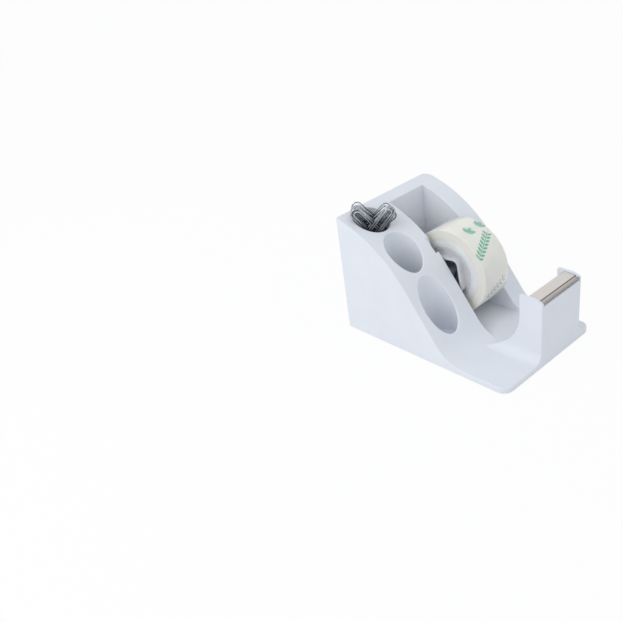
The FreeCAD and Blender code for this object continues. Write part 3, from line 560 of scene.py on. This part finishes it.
core_low, core_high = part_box("tape_core")
core_radius = (core_high.z - core_low.z) / 2
tape_bore = core_radius + CORE_PLAY
flat_reach = tape_radius - TAPE_ARRIS
dice = random.Random(7)
side = [(tape_bore + (flat_reach - tape_bore) * i / TURN_GROUPS,
         half_tape - dice.uniform(0, UNEVEN)) for i in range(TURN_GROUPS)]
shoulder = [(flat_reach, half_tape), (tape_radius - ROUND_MIDDLE, half_tape - ROUND_MIDDLE),
            (tape_radius, half_tape - TAPE_ARRIS)]
upper = side + shoulder
wound = turned(upper + [(r, -z) for r, z in reversed(upper)], ROLL_STEPS, True, ON_AXLE)
finish_piece("wound_tape", wound, "roll", tape_film, "tape_film", "tape_roll")

# %% [markdown]
# ## The core and the axle
#
# The core is the stiff ring the film is wound on, and shows as a frosted band between the tape
# and the hub. The axle is a stepped pin with a journal at each end. Both have broken corners, as
# the real ones come from a mould that has no sharp edge. Their radii and steps could be typed in,
# but read off the solids' own corners they follow any change to the part.

# %% Core and axle
CORE_ARRIS, CORE_STEPS = 0.35 * MM, 128
PIN_ARRIS, PIN_STEPS = 0.3 * MM, 48
TOUCH = 0.01 * MM


def about_axle(node):
    """Each corner of a solid, as its distance from the axle and from the roll's middle."""
    corners = [v.co - axle for v in nodes[node].data.vertices]
    return [(math.hypot(c.x, c.z), abs(c.y)) for c in corners]


core_bore = min(r for r, _ in about_axle("tape_core"))
core = turned([(core_bore, -half_tape), (core_radius, -half_tape), (core_radius, half_tape),
               (core_bore, half_tape)], CORE_STEPS, True, ON_AXLE, CORE_ARRIS)
finish_piece("core_ring", core, "roll", core_plastic, "core_plastic", "tape_core")

pin_corners = about_axle("hub_axle")
shaft = max(r for r, _ in pin_corners)
half_pin = max(y for _, y in pin_corners)
journal = max(r for r, y in pin_corners if y > half_pin - TOUCH)
journal_from = max(y for r, y in pin_corners if r > shaft - TOUCH)
half_rings = [(journal, half_pin), (journal, journal_from), (shaft, journal_from)]
pin_rings = [(r, -y) for r, y in half_rings] + half_rings[::-1]
pin = turned(pin_rings, PIN_STEPS, False, ON_AXLE, PIN_ARRIS)
finish_piece("axle_pin", pin, "axle", axle_plastic, "axle_plastic", "hub_axle")
print("bore of the core, mm:", round(core_bore / MM, 3))
print("shaft, journal, where it starts, end, mm:",
      [round(v / MM, 3) for v in (shaft, journal, journal_from, half_pin)])

# %% [markdown]
# ## The hub
#
# Each half of the hub is a plain disc, slightly stepped at its rim, with a deep square socket
# sunk into it. Its solid is right but knife edged. A copy of the solid is welded, its flat
# faces are joined up again, and every corner is bevelled, so that the rims catch a line of light.

# %% Hub halves
HUB_ARRIS = 0.3 * MM
WELD = 0.001 * MM
FLAT = math.radians(1)


def welded(node):
    """A copy of a solid's mesh, whose loose triangles are joined."""
    mesh = bmesh.new()
    mesh.from_mesh(nodes[node].data)
    bmesh.ops.remove_doubles(mesh, verts=mesh.verts, dist=WELD)
    return mesh


for half, node in (("hub_near", "hub_near_half"), ("hub_far", "hub_far_half")):
    hub = welded(node)
    bmesh.ops.dissolve_limit(hub, angle_limit=FLAT, verts=hub.verts, edges=hub.edges)
    soften(hub, HUB_ARRIS, 3)
    finish_piece(half, hub, "roll", hub_plastic, "hub_plastic", node)

# %% [markdown]
# ## The feet
#
# The feet don't show from the front, but they do when the dispenser is tipped. A foot cut from a
# sheet would have crisp edges. These are moulded, so each is a turned disc whose rims are rolled
# over by a good part of its height.

# %% Feet
FOOT_ROLL, FOOT_STEPS = 0.45 * MM, 64
for foot in ("foot_rear_near", "foot_rear_far", "foot_front_near", "foot_front_far"):
    low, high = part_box(foot)
    middle, foot_radius, tall = (low + high) / 2, (high.x - low.x) / 2, high.z - low.z
    stand = Matrix.Translation((middle.x, middle.y, low.z))
    pad = turned([(foot_radius, 0), (foot_radius, tall)], FOOT_STEPS, False, stand, FOOT_ROLL)
    finish_piece(foot + "_pad", pad, "body", foot_rubber, "foot_rubber", foot)

# %% [markdown]
# ## One screw
#
# Six screws hold the cover, and their heads show underneath. A screw is turned in one piece,
# then a cross is cut into the face of its head. The cross could be subtracted as a solid, but
# that leaves long thin faces. Here the face is divided by eight straight cuts, and the parts
# inside the cross are pushed in.

# %% One screw
HEAD, HEAD_TALL, SHANK = 2.3 * MM, 1.0 * MM, 1.2 * MM
TIP, TIP_FROM, SCREW_ARRIS, SCREW_STEPS = SHANK / 2, 0.93, 0.12 * MM, 40
CROSS_HALF, CROSS_REACH, CROSS_DEEP = 0.30 * MM, 1.15 * MM, 0.55 * MM
FLUSH = 1e-8


def on_head(face):
    """Whether a face lies in the flat face of the screw's head."""
    return all(abs(v.co.z) < FLUSH for v in face.verts)


screws_low, screws_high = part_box("cover_screws")
length = screws_high.z - screws_low.z
screw = turned([(HEAD, 0), (HEAD, HEAD_TALL), (SHANK, HEAD_TALL), (SHANK, length * TIP_FROM),
                (TIP, length)], SCREW_STEPS, False, UPRIGHT, SCREW_ARRIS)
for away in (CROSS_HALF, CROSS_REACH):
    for way in (Vector((1, 0, 0)), Vector((0, 1, 0)), Vector((-1, 0, 0)), Vector((0, -1, 0))):
        touching = {f for f in screw.faces if on_head(f)}
        touching |= {part for face in touching for part in (*face.edges, *face.verts)}
        bmesh.ops.bisect_plane(screw, geom=list(touching), plane_co=way * away, plane_no=way)
cross = []
for face in screw.faces:
    middle = face.calc_center_median()
    short, long = sorted((abs(middle.x), abs(middle.y)))
    if on_head(face) and short < CROSS_HALF and long < CROSS_REACH:
        cross.append(face)
sunk = bmesh.ops.extrude_face_region(screw, geom=cross)["geom"]
bmesh.ops.delete(screw, geom=cross, context="FACES")
bmesh.ops.translate(screw, vec=(0, 0, CROSS_DEEP), verts=verts_of(sunk))
print("screw length, mm:", round(length / MM, 2))

# %% [markdown]
# ## The six screws
#
# The six solid screws are one mesh, so their places are found again by walking from corner to
# corner: whatever can't be reached belongs to another screw. The middle of each one is where a
# copy of the finished screw goes.

# %% The six screws
def islands(mesh):
    """The corners of each separate solid in a mesh."""
    found, reached = [], set()
    for start in mesh.verts:
        if start in reached:
            continue
        island, fresh = [], [start]
        reached.add(start)
        while fresh:
            corner = fresh.pop()
            island.append(corner)
            beyond = {e.other_vert(corner) for e in corner.link_edges} - reached
            reached |= beyond
            fresh += beyond
        found.append(island)
    return found


solid_screws = welded("cover_screws")
spots = []
for island in islands(solid_screws):
    xs, ys = [v.co.x for v in island], [v.co.y for v in island]
    spots.append(Vector(((min(xs) + max(xs)) / 2, (min(ys) + max(ys)) / 2, screws_low.z)))
solid_screws.free()

pattern = screw.verts[:] + screw.edges[:] + screw.faces[:]
first_spot, *other_spots = spots
for screw_spot in other_spots:
    again = bmesh.ops.duplicate(screw, geom=pattern)["geom"]
    bmesh.ops.translate(screw, vec=screw_spot, verts=verts_of(again))
bmesh.ops.translate(screw, vec=first_spot, verts=verts_of(pattern))
finish_piece("crosshead_screws", screw, "body", screw_steel, "screw_steel", "cover_screws")
print("screws:", len(spots))

# %% [markdown]
# ## Fittings that stay as they are
#
# The body, the cover, the cutter, the weights and the clips already have the shape they need.
# They keep their own meshes and only take a finish, which the record names for each of them.

# %% Finishes for the solids
FINISHES = {
    "shell_plastic": shell_plastic, "cover_plastic": cover_plastic, "screw_steel": screw_steel,
    "foot_rubber": foot_rubber, "weight_iron": weight_iron, "cutter_steel": cutter_steel,
    "tape_film": tape_film, "core_plastic": core_plastic, "hub_plastic": hub_plastic,
    "axle_plastic": axle_plastic, "clip_wire": clip_wire,
}
for part in frame["record"]["subparts"]:
    node = nodes[part["node"]]
    node.data.materials.clear()
    node.data.materials.append(FINISHES[part["material_slot"]].material)

# %% [markdown]
# ## The desk
#
# The desk is nearly white. Lighting it up to white would burn out the pale plastic that stands
# on it. So it is mixed with a plain glow, which only the eye and shiny things see. That keeps
# it as pale as paper, adds no light to the object, and leaves a little of the shadow on it.

# %% Desk
DESK_SIZE = 6
DESK_TONE, DESK_ROUGH = 0.9, 0.9
DESK_GLOW = 0.93


def seen(net):
    """1 for what is seen, straight or in something shiny, and 0 for the light it gives."""
    straight = net.node("ShaderNodeLightPath", out="Is Camera Ray")
    return straight.apply("MAXIMUM", straight.beside("Is Glossy Ray"))


desk_mesh = bmesh.new()
bmesh.ops.create_grid(desk_mesh, x_segments=2, y_segments=2, size=DESK_SIZE)
desk_data = bpy.data.meshes.new("desk")
desk_mesh.to_mesh(desk_data)
desk_mesh.free()
desk = bpy.data.objects.new("desk", desk_data)
bpy.context.collection.objects.link(desk)

desk_finish = Finish("desk", Base_Color=(DESK_TONE, DESK_TONE, DESK_TONE, 1),
                     Roughness=DESK_ROUGH, Specular_IOR_Level=0.0)
lit = Wire(desk_finish, desk_finish.shader.outputs[0])
glow = desk_finish.node("ShaderNodeEmission")
desk_look = desk_finish.node("ShaderNodeMixShader", None,
                             {0: seen(desk_finish) * DESK_GLOW, 1: lit, 2: glow})
desk_finish.show("Material Output", desk_look)
desk_data.materials.append(desk_finish.material)
print("desk across, m:", 2 * DESK_SIZE)

# %% [markdown]
# ## The sky
#
# Pale plastic shows its form by gentle changes of tone. An even sky gives most of the light, a
# little cool, as daylight in a white room is. It is white to the eye, as the desk is, in the
# same way.

# %% Sky
SKY_COLOUR, SKY_STRENGTH = (0.935, 0.965, 1.0), 0.79
PAPER = (1, 1, 1)

sky = bpy.data.worlds.new("sky")
bpy.context.scene.world = sky
sky.use_nodes = True
sky_net = Net(sky.node_tree)
even = sky.node_tree.nodes["Background"]
even.inputs["Color"].default_value = (*SKY_COLOUR, 1)
even.inputs["Strength"].default_value = SKY_STRENGTH
paper = sky_net.node("ShaderNodeBackground", None, {"Color": PAPER})
sky_look = sky_net.node("ShaderNodeMixShader", None,
                        {0: seen(sky_net), 1: Wire(sky_net, even.outputs[0]), 2: paper})
sky_net.show("World Output", sky_look)
print("sky strength:", SKY_STRENGTH)

# %% [markdown]
# ## The lamp
#
# The sky alone would leave the plastic flat, and a small lamp would cut it into light and
# shadow. So there is one large round lamp above the near side, whose shadows are soft.

# %% Lamp
LAMP_WAY, LAMP_DISTANCE = Vector((-0.16, -0.72, 0.67)).normalized(), 1.0
LAMP_SIZE, LAMP_POWER = 0.7, 2.35

lamp = bpy.data.objects.new("lamp", bpy.data.lights.new("lamp", "AREA"))
bpy.context.collection.objects.link(lamp)
lamp.data.shape, lamp.data.size, lamp.data.energy = "DISK", LAMP_SIZE, LAMP_POWER
lamp.location = LAMP_WAY * LAMP_DISTANCE
lamp.rotation_mode = "QUATERNION"
lamp.rotation_quaternion = LAMP_WAY.to_track_quat("Z", "Y")
print("lamp, W:", LAMP_POWER)
